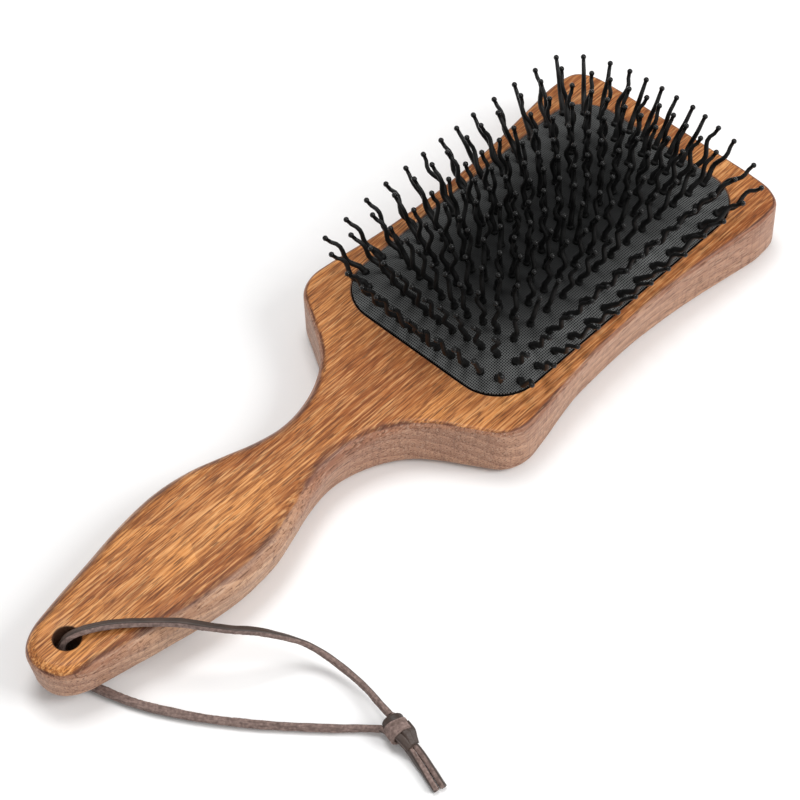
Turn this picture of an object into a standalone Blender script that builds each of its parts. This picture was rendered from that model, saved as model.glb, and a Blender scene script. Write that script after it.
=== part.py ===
"""Wooden paddle hairbrush: body, air cushion, rows of pins and a hanging thong.

Frame: metres, +Z up. The brush lies on its back with the pins up. X runs along
the brush, with the handle end at -X and the head at +X, and the body is centred
on the origin, whose Z = 0 plane is the flat back.
"""

import math

import bmesh
import bpy
import numpy as np
from mathutils import Matrix, Vector

FACE_GAP = 0.0003
MERGE_DISTANCE = 0.00005
CURVE_SAMPLES = 12
CUTTER_OVERSHOOT = 0.002

# ---------------------------------------------------------------- wooden body
TOP_Z = 0.017
OUTLINE = [
    (-0.1225, 0.0),
    (-0.1221, 0.0031),
    (-0.1206, 0.0060),
    (-0.1179, 0.0084),
    (-0.1141, 0.0102),
    (-0.1095, 0.0114),
    (-0.0945, 0.0146),
    (-0.0785, 0.0175),
    (-0.0655, 0.0184),
    (-0.0545, 0.0170),
    (-0.0445, 0.0139),
    (-0.0365, 0.0112),
    (-0.0285, 0.0096),
    (-0.0215, 0.0098),
    (-0.0135, 0.0120),
    (-0.0065, 0.0160),
    (-0.0015, 0.0214),
    (0.0035, 0.0292),
    (0.0080, 0.0359),
    (0.0135, 0.0384),
    (0.0215, 0.0380),
    (0.0355, 0.0361),
    (0.0495, 0.0350),
    (0.0645, 0.0346),
    (0.0815, 0.0352),
    (0.0995, 0.0370),
    (0.1115, 0.0379),
    (0.1185, 0.0366),
    (0.1215, 0.0322),
    (0.1224, 0.0250),
    (0.1225, 0.0120),
    (0.1225, 0.0),
]
OUTLINE_SAMPLES = 2
# Each list below gives a value at stations along X.
TOP_ROUNDING = [(-0.1225, 0.0032), (-0.090, 0.0055), (-0.030, 0.0050), (0.003, 0.0016)]
BACK_ROUNDING = [(-0.1225, 0.0030), (-0.090, 0.0042), (-0.030, 0.0038), (0.003, 0.0025)]
SIDE_UNDERCUT = [
    (-0.1225, 0.0013),
    (-0.0975, 0.0011),
    (-0.0615, 0.0024),
    (-0.0245, 0.0016),
    (-0.0005, 0.0004),
    (0.0175, 0.0002),
    (0.0395, 0.0020),
    (0.0635, 0.0020),
    (0.0925, 0.0010),
    (0.1095, 0.0),
]
BACK_RISE = [(-0.1005, 0.0032), (-0.078, 0.0014), (-0.0525, 0.0)]
ROUNDING_STEPS = 3

HOLE_X = -0.1120
HOLE_RADIUS = 0.0035
HOLE_CHAMFER = 0.0008
HOLE_STEPS = 24

# -------------------------------------------------------------- rubber cushion
PAD_X = 0.0635
RECESS_HALF_X = 0.0506
RECESS_HALF_Y = 0.0305
RECESS_CORNER = 0.0130
RECESS_DEPTH = 0.0070
RUBBER_GAP = 0.00035
RUBBER_THICKNESS = 0.0012
DOME_HEIGHT = 0.0060
# How square the dome's shoulders are along and across the brush.
DOME_POWER_X = 4.0
DOME_POWER_Y = 2.6
DOME_RINGS = [1.0, 0.94, 0.84, 0.70, 0.50, 0.25]
VENT_X = 0.0314
VENT_RADIUS = 0.0010
VENT_SIDES = 8
HOLE_CUTTER_DEPTH = 5 * RUBBER_THICKNESS

# ------------------------------------------------------------------------ pins
COLUMN_PITCH = 0.0046
COLUMNS_EACH_SIDE = 6
# One value for each column, from the middle one outwards.
COLUMN_PINS = [17, 17, 16, 16, 15, 14, 13]
COLUMN_HALF_LENGTH = [0.0468, 0.0468, 0.0464, 0.0459, 0.0452, 0.0436, 0.0400]
COLUMN_LEAN_DEG = [0, 2, 5, 9, 15, 32, 41]
# One value for each pin, from the end of a column inwards.
NEAR_END_LEAN_DEG = [28, 21, 13, 6, 2]
FAR_END_LEAN_DEG = [32, 23, 14, 7, 2]
PIN_LENGTH = 0.0165
PIN_FOOT_RADIUS = 0.00070
PIN_NECK_RADIUS = 0.00055
PIN_TIP_RADIUS = 0.00080
PIN_TIP_HEIGHT = 0.0012
PIN_SIDES = 4
HOLE_CLEARANCE = 0.0004
STRIP_GAP = 0.0005
STRIP_THICKNESS = 0.0012
STRIP_HALF_WIDTH = 0.0009
STRIP_OVERHANG = 2 * STRIP_HALF_WIDTH
STRIP_STATIONS = 9

# ----------------------------------------------------------------------- thong
LACE_RADIUS = 0.0012
LACE_STEP = 0.0058
THONG_JOINT_Z = 0.0100
UPPER_LEG = [
    (-0.1135, 0.0010, THONG_JOINT_Z + FACE_GAP),
    (-0.1135, 0.0010, 0.0132),
    (-0.1120, 0.0001, 0.0169),
    (-0.1090, -0.0018, 0.0186),
    (-0.1024, -0.0060, 0.0187),
    (-0.0962, -0.0117, 0.0186),
    (-0.0905, -0.0178, 0.0184),
    (-0.0868, -0.0227, 0.0178),
    (-0.0827, -0.0272, 0.0165),
    (-0.0777, -0.0308, 0.0140),
    (-0.0741, -0.0338, 0.0116),
    (-0.0713, -0.0364, 0.0095),
    (-0.0690, -0.0392, 0.0076),
    (-0.0672, -0.0433, 0.0056),
    (-0.0663, -0.0482, 0.0042),
    (-0.0661, -0.0536, 0.0035),
    (-0.0665, -0.0583, 0.0033),
    (-0.0675, -0.0629, 0.0036),
    (-0.0685, -0.0676, 0.0042),
]
LOWER_LEG = [
    (-0.1128, 0.0018, THONG_JOINT_Z - FACE_GAP),
    (-0.1125, 0.0014, 0.0066),
    (-0.1120, -0.0010, 0.0029),
    (-0.1112, -0.0046, 0.0015),
    (-0.1101, -0.0092, 0.0014),
    (-0.1080, -0.0159, 0.0014),
    (-0.1060, -0.0206, 0.0014),
    (-0.1037, -0.0250, 0.0014),
    (-0.1005, -0.0307, 0.0014),
    (-0.0970, -0.0361, 0.0014),
    (-0.0934, -0.0412, 0.0014),
    (-0.0896, -0.0463, 0.0014),
    (-0.0863, -0.0504, 0.0014),
    (-0.0822, -0.0553, 0.0014),
    (-0.0785, -0.0596, 0.0014),
    (-0.0747, -0.0637, 0.0015),
    (-0.0716, -0.0675, 0.0017),
]
KNOT_CENTRE = (-0.0700, -0.0720, 0.0034)
KNOT_RADII = (0.0039, 0.0041, 0.0031)
TAIL_RADIUS = 0.0008
TAIL_A = [(-0.0717, -0.0767, 0.0022), (-0.0727, -0.0810, 0.0013), (-0.0752, -0.0888, 0.0011)]
TAIL_B = [(-0.0698, -0.0769, 0.0022), (-0.0707, -0.0815, 0.0013), (-0.0732, -0.0894, 0.0011)]

# name: (colour, roughness, metallic)
FINISHES = {
    "wood": ((0.46, 0.24, 0.09, 1.0), 0.45, 0.0),
    "rubber": ((0.03, 0.03, 0.032, 1.0), 0.75, 0.0),
    "pins": ((0.010, 0.010, 0.011, 1.0), 0.25, 0.0),
    "leather": ((0.13, 0.085, 0.06, 1.0), 0.80, 0.0),
}


def clear_scene():
    for old in list(bpy.data.objects):
        bpy.data.objects.remove(old, do_unlink=True)


def new_collection(name):
    collection = bpy.data.collections.new(name)
    bpy.context.scene.collection.children.link(collection)
    return collection


def finish_material(node_name, finish):
    """A material of the node's own, in one of the four finishes."""
    colour, roughness, metallic = FINISHES[finish]
    material = bpy.data.materials.new(node_name + "_finish")
    material.use_nodes = True
    shader = material.node_tree.nodes["Principled BSDF"]
    shader.inputs["Base Color"].default_value = colour
    shader.inputs["Roughness"].default_value = roughness
    shader.inputs["Metallic"].default_value = metallic
    material.diffuse_color = colour
    return material


def along(stations, x):
    """The value at x of a list of (x, value) stations."""
    return float(np.interp(x, [s[0] for s in stations], [s[1] for s in stations]))


def smooth_points(points, samples):
    """Centripetal Catmull-Rom curve through points; the first and last only steer it."""
    p = np.array(points, float)
    result = []
    for i in range(1, len(p) - 2):
        a, b, c, d = p[i - 1], p[i], p[i + 1], p[i + 2]
        t0 = 0.0
        t1 = t0 + math.sqrt(np.linalg.norm(b - a))
        t2 = t1 + math.sqrt(np.linalg.norm(c - b))
        t3 = t2 + math.sqrt(np.linalg.norm(d - c))
        for t in np.linspace(t1, t2, samples, endpoint=False):
            ab = a + (b - a) * (t - t0) / (t1 - t0)
            bc = b + (c - b) * (t - t1) / (t2 - t1)
            cd = c + (d - c) * (t - t2) / (t3 - t2)
            abc = ab + (bc - ab) * (t - t0) / (t2 - t0)
            bcd = bc + (cd - bc) * (t - t1) / (t3 - t1)
            result.append(abc + (bcd - abc) * (t - t1) / (t2 - t1))
    result.append(p[-2])
    return np.array(result)


def evenly_spaced(points, step):
    """The same path with a point about every step of its length."""
    lengths = np.linalg.norm(np.diff(points, axis=0), axis=1)
    travelled = np.concatenate([[0.0], np.cumsum(lengths)])
    count = max(2, int(round(travelled[-1] / step)) + 1)
    stops = np.linspace(0.0, travelled[-1], count)
    return np.column_stack([np.interp(stops, travelled, points[:, k]) for k in range(3)])


def add_object(name, mesh, collection, finish=None, pivot=(0, 0, 0), parent=None):
    """Link a mesh given in world coordinates, with its origin at pivot."""
    mesh.transform(Matrix.Translation(-Vector(pivot)))
    obj = bpy.data.objects.new(name, mesh)
    obj.location = pivot
    if parent:
        obj.parent = parent
        obj.location = Vector(pivot) - parent.location
    if finish:
        mesh.materials.append(finish_material(name, finish))
    collection.objects.link(obj)
    return obj


def mesh_from(bm, name, smooth_angle=None):
    bmesh.ops.recalc_face_normals(bm, faces=bm.faces)
    mesh = bpy.data.meshes.new(name)
    bm.to_mesh(mesh)
    bm.free()
    if smooth_angle:
        mesh.shade_smooth()
        mesh.set_sharp_from_angle(angle=math.radians(smooth_angle))
    return mesh


def add_axis(name, location, collection):
    """An empty on a joint's axis."""
    axis = bpy.data.objects.new(name, None)
    axis.location = location
    axis.empty_display_size = 0.01
    collection.objects.link(axis)
    return axis


def hide_cutter(obj):
    obj.hide_render = True
    obj.display_type = "WIRE"


def cut(obj, cutter, operation="DIFFERENCE"):
    modifier = obj.modifiers.new(operation.lower() + "_" + cutter.name, "BOOLEAN")
    modifier.object = cutter
    modifier.operation = operation
    modifier.solver = "EXACT"


# ---------------------------------------------------------------- wooden body
def body_outline():
    """The closed outline seen from above, anticlockwise from the handle's end."""
    handle_guide = (OUTLINE[1][0], -OUTLINE[1][1])
    head_guide = (OUTLINE[-2][0], -OUTLINE[-2][1])
    half = smooth_points([handle_guide] + OUTLINE + [head_guide], OUTLINE_SAMPLES)
    other_half = half[1:-1][::-1] * [1, -1]
    return np.vstack([half, other_half])


def inward_normals(outline):
    tangent = np.roll(outline, -1, axis=0) - np.roll(outline, 1, axis=0)
    tangent /= np.linalg.norm(tangent, axis=1)[:, None]
    return np.column_stack([tangent[:, 1], -tangent[:, 0]])


def body_levels(x):
    """(z, inset) of each level of the side, from the back to the top, at station x."""
    back, undercut = along(BACK_RISE, x), along(SIDE_UNDERCUT, x)
    back_round, top_round = along(BACK_ROUNDING, x), along(TOP_ROUNDING, x)
    levels = []
    for step in range(ROUNDING_STEPS + 1):
        angle = math.radians(90) * step / ROUNDING_STEPS
        inset = undercut + back_round * (1 - math.sin(angle))
        levels.append((back + back_round * (1 - math.cos(angle)), inset))
    for step in range(ROUNDING_STEPS + 1):
        angle = math.radians(90) * step / ROUNDING_STEPS
        z = TOP_Z - top_round * (1 - math.sin(angle))
        levels.append((z, top_round * (1 - math.cos(angle))))
    return levels


def body_mesh():
    """Loft: rings of the outline from the back to the top, closed by cross strips."""
    outline = body_outline()
    inward = inward_normals(outline)
    levels = [body_levels(x) for x, _ in outline]
    count = len(outline)
    half = count // 2
    bm = bmesh.new()
    rings = []
    for level in range(2 * (ROUNDING_STEPS + 1)):
        ring = []
        for i in range(count):
            z, inset = levels[i][level]
            x, y = outline[i] + inward[i] * inset
            ring.append(bm.verts.new((x, y, z)))
        rings.append(ring)
    for lower, upper in zip(rings, rings[1:]):
        for i in range(count):
            j = (i + 1) % count
            bm.faces.new((lower[i], lower[j], upper[j], upper[i]))
    for ring in (rings[0], rings[-1]):
        for i in range(half):
            corners = [ring[i], ring[i + 1], ring[(count - i - 1) % count], ring[(count - i) % count]]
            bm.faces.new(list(dict.fromkeys(corners)))
    return mesh_from(bm, "wooden_body", smooth_angle=40)


def hole_cutter(cutters):
    """Turned cutter for the hanging hole, with a chamfer at both mouths."""
    back = along(BACK_RISE, HOLE_X)
    wide = HOLE_RADIUS + HOLE_CHAMFER + CUTTER_OVERSHOOT
    profile = [
        (0.0, TOP_Z + CUTTER_OVERSHOOT),
        (wide, TOP_Z + CUTTER_OVERSHOOT),
        (HOLE_RADIUS, TOP_Z - HOLE_CHAMFER),
        (HOLE_RADIUS, back + HOLE_CHAMFER),
        (wide, back - CUTTER_OVERSHOOT),
        (0.0, back - CUTTER_OVERSHOOT),
    ]
    mesh = bpy.data.meshes.new("hanging_hole_cutter")
    edges = [(i, i + 1) for i in range(len(profile) - 1)]
    mesh.from_pydata([(r, 0, z) for r, z in profile], edges, [])
    cutter = bpy.data.objects.new("hanging_hole_cutter", mesh)
    cutter.location = (HOLE_X, 0, 0)
    cutters.objects.link(cutter)
    screw = cutter.modifiers.new("turn", "SCREW")
    screw.steps = HOLE_STEPS
    screw.render_steps = HOLE_STEPS
    screw.use_merge_vertices = True
    screw.merge_threshold = MERGE_DISTANCE
    hide_cutter(cutter)
    return cutter


def rounded_rectangle(half_x, half_y, radius, corner_steps=5, long_steps=8, short_steps=5):
    """Points of a rounded rectangle, anticlockwise, with points along its sides too."""
    straight_x, straight_y = half_x - radius, half_y - radius
    points = []
    centres = [(1, 1), (-1, 1), (-1, -1), (1, -1)]
    for quarter, (side_x, side_y) in enumerate(centres):
        for step in range(corner_steps + 1):
            angle = math.radians(90) * (quarter + step / corner_steps)
            x = side_x * straight_x + radius * math.cos(angle)
            y = side_y * straight_y + radius * math.sin(angle)
            points.append((x, y))
        next_x, next_y = centres[(quarter + 1) % 4]
        steps = long_steps if next_x != side_x else short_steps
        turned = math.radians(90) * (quarter + 1)
        start = np.array(points[-1])
        end = np.array([next_x * straight_x, next_y * straight_y])
        end = end + radius * np.array([math.cos(turned), math.sin(turned)])
        for step in range(1, steps):
            points.append(tuple(start + (end - start) * step / steps))
    return np.array(points)


def prism(name, outline, centre_x, z_low, z_high):
    bm = bmesh.new()
    base = bm.faces.new([bm.verts.new((centre_x + x, y, z_low)) for x, y in outline])
    grown = bmesh.ops.extrude_face_region(bm, geom=[base])
    top = [v for v in grown["geom"] if isinstance(v, bmesh.types.BMVert)]
    bmesh.ops.translate(bm, verts=top, vec=(0, 0, z_high - z_low))
    return mesh_from(bm, name)


def add_wooden_body(parts, cutters):
    body = add_object("wooden_body", body_mesh(), parts, "wood")
    recess_outline = rounded_rectangle(RECESS_HALF_X, RECESS_HALF_Y, RECESS_CORNER)
    floor_z = TOP_Z - RECESS_DEPTH
    above = TOP_Z + CUTTER_OVERSHOOT
    recess_mesh = prism("recess_cutter", recess_outline, PAD_X, floor_z, above)
    recess = add_object("recess_cutter", recess_mesh, cutters)
    hide_cutter(recess)
    cut(body, recess)
    cut(body, hole_cutter(cutters))
    return body


# -------------------------------------------------------------- rubber cushion
def dome_z(x, y):
    """Height of the rubber's outer surface: steep edges and a broad, nearly flat crown."""
    u = min(1.0, abs(x - PAD_X) / RECESS_HALF_X)
    v = min(1.0, abs(y) / RECESS_HALF_Y)
    return TOP_Z + DOME_HEIGHT * (1 - u**DOME_POWER_X) * (1 - v**DOME_POWER_Y)


def rubber_mesh():
    """Open surface of the dome and its skirt, which Solidify turns into a shell."""
    half_x, half_y = RECESS_HALF_X - RUBBER_GAP, RECESS_HALF_Y - RUBBER_GAP
    outline = rounded_rectangle(half_x, half_y, RECESS_CORNER - RUBBER_GAP)
    skirt_z = TOP_Z - RECESS_DEPTH + FACE_GAP
    bm = bmesh.new()
    rings = [[bm.verts.new((PAD_X + x, y, skirt_z)) for x, y in outline]]
    for scale in DOME_RINGS:
        ring = [(PAD_X + x * scale, y * scale) for x, y in outline]
        rings.append([bm.verts.new((x, y, dome_z(x, y))) for x, y in ring])
    count = len(outline)
    for lower, upper in zip(rings, rings[1:]):
        for i in range(count):
            j = (i + 1) % count
            bm.faces.new((lower[i], lower[j], upper[j], upper[i]))
    crown = bm.verts.new((PAD_X, 0, dome_z(PAD_X, 0)))
    for i in range(count):
        bm.faces.new((rings[-1][i], rings[-1][(i + 1) % count], crown))
    bmesh.ops.triangulate(bm, faces=bm.faces)
    return mesh_from(bm, "rubber_cushion", smooth_angle=50)


def add_rubber_cushion(parts, cutters, press_axis):
    pivot = (PAD_X, 0, TOP_Z)
    rubber = add_object("rubber_cushion", rubber_mesh(), parts, "rubber", pivot, press_axis)
    shell = rubber.modifiers.new("shell", "SOLIDIFY")
    shell.thickness = RUBBER_THICKNESS
    shell.offset = -1
    shell.use_even_offset = True
    bm = bmesh.new()
    for _, foot, direction in all_pins():
        add_pin_hole(bm, foot, direction)
    vent_place = Matrix.Translation((VENT_X, 0, dome_z(VENT_X, 0)))
    bmesh.ops.create_cone(
        bm,
        cap_ends=True,
        segments=VENT_SIDES,
        radius1=VENT_RADIUS,
        radius2=VENT_RADIUS,
        depth=HOLE_CUTTER_DEPTH,
        matrix=vent_place,
    )
    holes = add_object("pin_hole_cutter", mesh_from(bm, "pin_hole_cutter"), cutters)
    hide_cutter(holes)
    cut(rubber, holes)


# ------------------------------------------------------------------------ pins
def column_pins(column):
    """(foot, direction) of each pin of a column, in order along X."""
    place = abs(column)
    side = (column > 0) - (column < 0)
    count = COLUMN_PINS[place]
    lean_y = side * math.radians(COLUMN_LEAN_DEG[place])
    y = column * COLUMN_PITCH
    pins = []
    for i in range(count):
        offset = COLUMN_HALF_LENGTH[place] * (2 * i / (count - 1) - 1)
        lean_x = 0.0
        if i < len(NEAR_END_LEAN_DEG):
            lean_x = -math.radians(NEAR_END_LEAN_DEG[i])
        if count - 1 - i < len(FAR_END_LEAN_DEG):
            lean_x = math.radians(FAR_END_LEAN_DEG[count - 1 - i])
        x = PAD_X + offset
        direction = Vector((math.tan(lean_x), math.tan(lean_y), 1)).normalized()
        pins.append((Vector((x, y, dome_z(x, y))), direction))
    return pins


def all_pins():
    """(column, foot, direction) of every pin."""
    for column in range(-COLUMNS_EACH_SIDE, COLUMNS_EACH_SIDE + 1):
        for foot, direction in column_pins(column):
            yield column, foot, direction


def pin_frame(foot, direction):
    """Places a shape built along +Z on a pin's own axis."""
    return Matrix.Translation(foot) @ direction.to_track_quat("Z", "Y").to_matrix().to_4x4()


def add_pin_hole(bm, foot, direction):
    radius = PIN_FOOT_RADIUS + HOLE_CLEARANCE
    bmesh.ops.create_cone(
        bm,
        cap_ends=True,
        segments=PIN_SIDES,
        radius1=radius,
        radius2=radius,
        depth=HOLE_CUTTER_DEPTH,
        matrix=pin_frame(foot, direction),
    )


def strip_depth():
    """How far under the rubber's outer surface the middle of a strip runs."""
    return RUBBER_THICKNESS + STRIP_GAP + STRIP_THICKNESS / 2


def add_pin(bm, foot, direction):
    """A tapered shaft that starts inside the strip and ends in a wider tip."""
    root = -strip_depth() / direction.z
    neck = PIN_LENGTH - PIN_TIP_HEIGHT
    middle = Matrix.Translation((0, 0, (root + neck) / 2))
    shaft = bmesh.ops.create_cone(
        bm,
        cap_ends=True,
        segments=PIN_SIDES,
        radius1=PIN_FOOT_RADIUS,
        radius2=PIN_NECK_RADIUS,
        depth=neck - root,
        matrix=pin_frame(foot, direction) @ middle,
    )
    neck_verts = sorted(shaft["verts"], key=lambda v: (v.co - foot).dot(direction))[-PIN_SIDES:]
    neck_face = [f for f in neck_verts[0].link_faces if set(f.verts) == set(neck_verts)][0]
    tip = bmesh.ops.extrude_discrete_faces(bm, faces=[neck_face])["faces"][0]
    centre = tip.calc_center_median()
    swell = PIN_TIP_RADIUS / PIN_NECK_RADIUS
    for vert in tip.verts:
        vert.co = centre + (vert.co - centre) * swell + direction * PIN_TIP_HEIGHT


def strip_mesh(name, column):
    """The strip under the rubber that joins the feet of one column."""
    pins = column_pins(column)
    ends = []
    for foot, direction in (pins[0], pins[-1]):
        ends.append(foot.x - direction.x / direction.z * strip_depth())
    lean = pins[0][1]
    y = pins[0][0].y - lean.y / lean.z * strip_depth()
    bm = bmesh.new()
    bmesh.ops.create_grid(bm, x_segments=STRIP_STATIONS, y_segments=1, size=0.5)
    for vert in bm.verts:
        along_strip = vert.co.x + 0.5
        x = (ends[0] - STRIP_OVERHANG) * (1 - along_strip) + (ends[1] + STRIP_OVERHANG) * along_strip
        side = math.copysign(STRIP_HALF_WIDTH, vert.co.y)
        z = dome_z(x, pins[0][0].y) - strip_depth() + STRIP_THICKNESS / 2
        vert.co = (x, y + side, z)
    grown = bmesh.ops.extrude_face_region(bm, geom=list(bm.faces))
    lower = [v for v in grown["geom"] if isinstance(v, bmesh.types.BMVert)]
    bmesh.ops.translate(bm, verts=lower, vec=(0, 0, -STRIP_THICKNESS))
    return mesh_from(bm, name)


def add_pin_column(column, parts, cutters, press_axis):
    """One column of pins on its strip, with its origin on its tilt axis."""
    name = "pin_column_%02d" % (column + COLUMNS_EACH_SIDE + 1)
    y = column * COLUMN_PITCH
    pivot = (PAD_X, y, dome_z(PAD_X, y) - strip_depth())
    strip = add_object(name, strip_mesh(name, column), parts, "pins", pivot, press_axis)
    bm = bmesh.new()
    for foot, direction in column_pins(column):
        add_pin(bm, foot, direction)
    pins = add_object(name + "_pins", mesh_from(bm, name + "_pins"), cutters)
    hide_cutter(pins)
    cut(strip, pins, "UNION")


# ----------------------------------------------------------------------- thong
def extended(points):
    """The points with one steering point before and one after them."""
    p = np.array(points, float)
    return np.vstack([2 * p[0] - p[1], p, 2 * p[-1] - p[-2]])


def add_lace(name, route, radius, parts, swing_axis):
    """A round tube along a smooth route."""
    path = evenly_spaced(smooth_points(extended(route), CURVE_SAMPLES), LACE_STEP)
    curve = bpy.data.curves.new(name, "CURVE")
    curve.dimensions = "3D"
    curve.bevel_depth = radius
    curve.bevel_resolution = 2
    curve.use_fill_caps = True
    spline = curve.splines.new("POLY")
    spline.points.add(len(path) - 1)
    for point, place in zip(spline.points, path):
        point.co = (*(Vector(place) - swing_axis.location), 1)
    spline.use_smooth = True
    curve.materials.append(finish_material(name, "leather"))
    obj = bpy.data.objects.new(name, curve)
    obj.parent = swing_axis
    parts.objects.link(obj)


def add_knot(parts, swing_axis):
    bm = bmesh.new()
    place = Matrix.Translation(KNOT_CENTRE) @ Matrix.Diagonal((*KNOT_RADII, 1))
    bmesh.ops.create_icosphere(bm, subdivisions=2, radius=1.0, matrix=place)
    mesh = mesh_from(bm, "thong_knot", smooth_angle=60)
    add_object("thong_knot", mesh, parts, "leather", KNOT_CENTRE, swing_axis)


clear_scene()
brush = new_collection("vanity_hairbrush")
cutter_collection = new_collection("cutters")
press = add_axis("cushion_press_axis", (PAD_X, 0, TOP_Z), brush)
swing = add_axis("thong_swing_axis", (HOLE_X, 0, TOP_Z), brush)
add_wooden_body(brush, cutter_collection)
add_rubber_cushion(brush, cutter_collection, press)
for number in range(-COLUMNS_EACH_SIDE, COLUMNS_EACH_SIDE + 1):
    add_pin_column(number, brush, cutter_collection, press)
add_lace("thong_upper_leg", UPPER_LEG, LACE_RADIUS, brush, swing)
add_lace("thong_lower_leg", LOWER_LEG, LACE_RADIUS, brush, swing)
add_knot(brush, swing)
add_lace("thong_tail_a", TAIL_A, TAIL_RADIUS, brush, swing)
add_lace("thong_tail_b", TAIL_B, TAIL_RADIUS, brush, swing)
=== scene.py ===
"""Looks of a wooden paddle hairbrush lying on its back, pins up, with its hanging thong."""

import math
import random

import bmesh
import bpy
import numpy as np
from mathutils import Matrix, Quaternion, Vector


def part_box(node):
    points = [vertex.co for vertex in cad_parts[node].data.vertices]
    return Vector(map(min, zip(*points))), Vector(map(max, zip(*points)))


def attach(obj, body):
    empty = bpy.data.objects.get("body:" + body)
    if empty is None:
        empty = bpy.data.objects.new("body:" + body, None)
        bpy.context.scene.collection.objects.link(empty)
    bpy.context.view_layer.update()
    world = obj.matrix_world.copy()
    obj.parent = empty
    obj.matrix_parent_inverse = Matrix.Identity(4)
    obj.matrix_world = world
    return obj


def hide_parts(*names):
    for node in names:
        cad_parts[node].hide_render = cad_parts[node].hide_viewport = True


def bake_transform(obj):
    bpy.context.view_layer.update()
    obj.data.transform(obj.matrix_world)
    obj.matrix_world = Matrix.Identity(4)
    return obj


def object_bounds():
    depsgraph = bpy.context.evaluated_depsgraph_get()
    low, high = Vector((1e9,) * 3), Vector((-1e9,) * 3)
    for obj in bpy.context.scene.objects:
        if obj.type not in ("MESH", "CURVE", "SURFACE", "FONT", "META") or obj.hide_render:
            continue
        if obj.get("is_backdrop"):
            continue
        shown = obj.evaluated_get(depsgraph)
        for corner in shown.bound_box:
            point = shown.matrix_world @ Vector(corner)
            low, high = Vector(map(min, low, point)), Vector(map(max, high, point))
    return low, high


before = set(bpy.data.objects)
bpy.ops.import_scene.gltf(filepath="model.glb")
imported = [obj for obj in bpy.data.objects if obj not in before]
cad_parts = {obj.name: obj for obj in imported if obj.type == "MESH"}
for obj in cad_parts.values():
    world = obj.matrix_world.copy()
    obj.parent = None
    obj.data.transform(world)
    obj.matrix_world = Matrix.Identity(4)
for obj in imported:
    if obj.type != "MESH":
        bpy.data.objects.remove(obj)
cad_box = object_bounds()
scene = bpy.context.scene
MM = 0.001

# ------------------------------------------------------------------ camera
# The view is from beyond the left of the handle, looking down on the pins
# through a long lens, so that the brush runs up to the right.
camera_place = Vector((-0.3798, -0.3659, 0.6598))
camera_aim = Vector((-0.0018, -0.0085, 0.0168))
camera_roll = math.radians(-0.46)
camera_data = bpy.data.cameras.new("camera")
camera_data.lens = 143.7
camera_data.sensor_width = 36.0
camera_data.clip_start = 0.05
camera = bpy.data.objects.new("camera", camera_data)
camera.location = camera_place
camera.rotation_mode = "QUATERNION"
aim_turn = (camera_aim - camera_place).to_track_quat("-Z", "Y")
camera.rotation_quaternion = aim_turn @ Quaternion((0, 0, 1), camera_roll)
scene.collection.objects.link(camera)
scene.camera = camera
scene.view_settings.view_transform = "Standard"

# ------------------------------------------------------------------- thong
# A narrow leather lace, smooth and dark on one face and napped on its cut
# sides and back. It passes through the hanging hole, one leg over the top and
# one under the back, and both legs end in one overhand knot with two tails.
LACE_WIDTH = 2.2 * MM
LACE_THICKNESS = 1.6 * MM
LACE_STEP = 0.5 * MM
LACE_FUZZ = 0.05 * MM
TAIL_WIDTH = 1.9 * MM
TAIL_THICKNESS = 1.6 * MM
STRAND_WIDTH = 2.1 * MM
STRAND_THICKNESS = 1.6 * MM
HIDE_TONES = [(0.3, (0.030, 0.018, 0.013)), (0.7, (0.060, 0.036, 0.027))]
FELT_TONES = [(0.25, (0.115, 0.080, 0.070)), (0.5, (0.215, 0.155, 0.136)), (0.75, (0.320, 0.240, 0.212))]
RIB_TONES = [(0.35, (0.74, 0.70, 0.68)), (0.65, (1.10, 1.06, 1.06))]
HOLE_MIDDLE_Z = 0.0100
UPPER_LEG = [
    (-0.1135, 0.0010, HOLE_MIDDLE_Z),
    (-0.1135, 0.0010, 0.0132),
    (-0.1120, 0.0001, 0.0169),
    (-0.1090, -0.0018, 0.0186),
    (-0.1024, -0.0060, 0.0187),
    (-0.0962, -0.0117, 0.0186),
    (-0.0905, -0.0178, 0.0184),
    (-0.0868, -0.0227, 0.0178),
    (-0.0827, -0.0272, 0.0165),
    (-0.0777, -0.0308, 0.0140),
    (-0.0741, -0.0338, 0.0116),
    (-0.0713, -0.0364, 0.0095),
    (-0.0690, -0.0392, 0.0076),
    (-0.0672, -0.0433, 0.0056),
    (-0.0663, -0.0482, 0.0042),
    (-0.0661, -0.0536, 0.0035),
    (-0.0665, -0.0583, 0.0033),
    (-0.0675, -0.0629, 0.0036),
    (-0.0685, -0.0676, 0.0042),
]
LOWER_LEG = [
    (-0.1128, 0.0018, HOLE_MIDDLE_Z),
    (-0.1125, 0.0014, 0.0066),
    (-0.1120, -0.0010, 0.0029),
    (-0.1112, -0.0046, 0.0015),
    (-0.1101, -0.0092, 0.0014),
    (-0.1080, -0.0159, 0.0014),
    (-0.1060, -0.0206, 0.0014),
    (-0.1037, -0.0250, 0.0014),
    (-0.1005, -0.0307, 0.0014),
    (-0.0970, -0.0361, 0.0014),
    (-0.0934, -0.0412, 0.0014),
    (-0.0896, -0.0463, 0.0014),
    (-0.0863, -0.0504, 0.0014),
    (-0.0822, -0.0553, 0.0014),
    (-0.0785, -0.0596, 0.0014),
    (-0.0747, -0.0637, 0.0015),
    (-0.0716, -0.0675, 0.0017),
]
TAIL_A = [
    (-0.0713, -0.0735, 0.0030),
    (-0.0717, -0.0767, 0.0022),
    (-0.0727, -0.0810, 0.0013),
    (-0.0752, -0.0888, 0.0011),
]
TAIL_B = [
    (-0.0700, -0.0735, 0.0030),
    (-0.0698, -0.0769, 0.0022),
    (-0.0707, -0.0815, 0.0013),
    (-0.0732, -0.0894, 0.0011),
]


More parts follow.
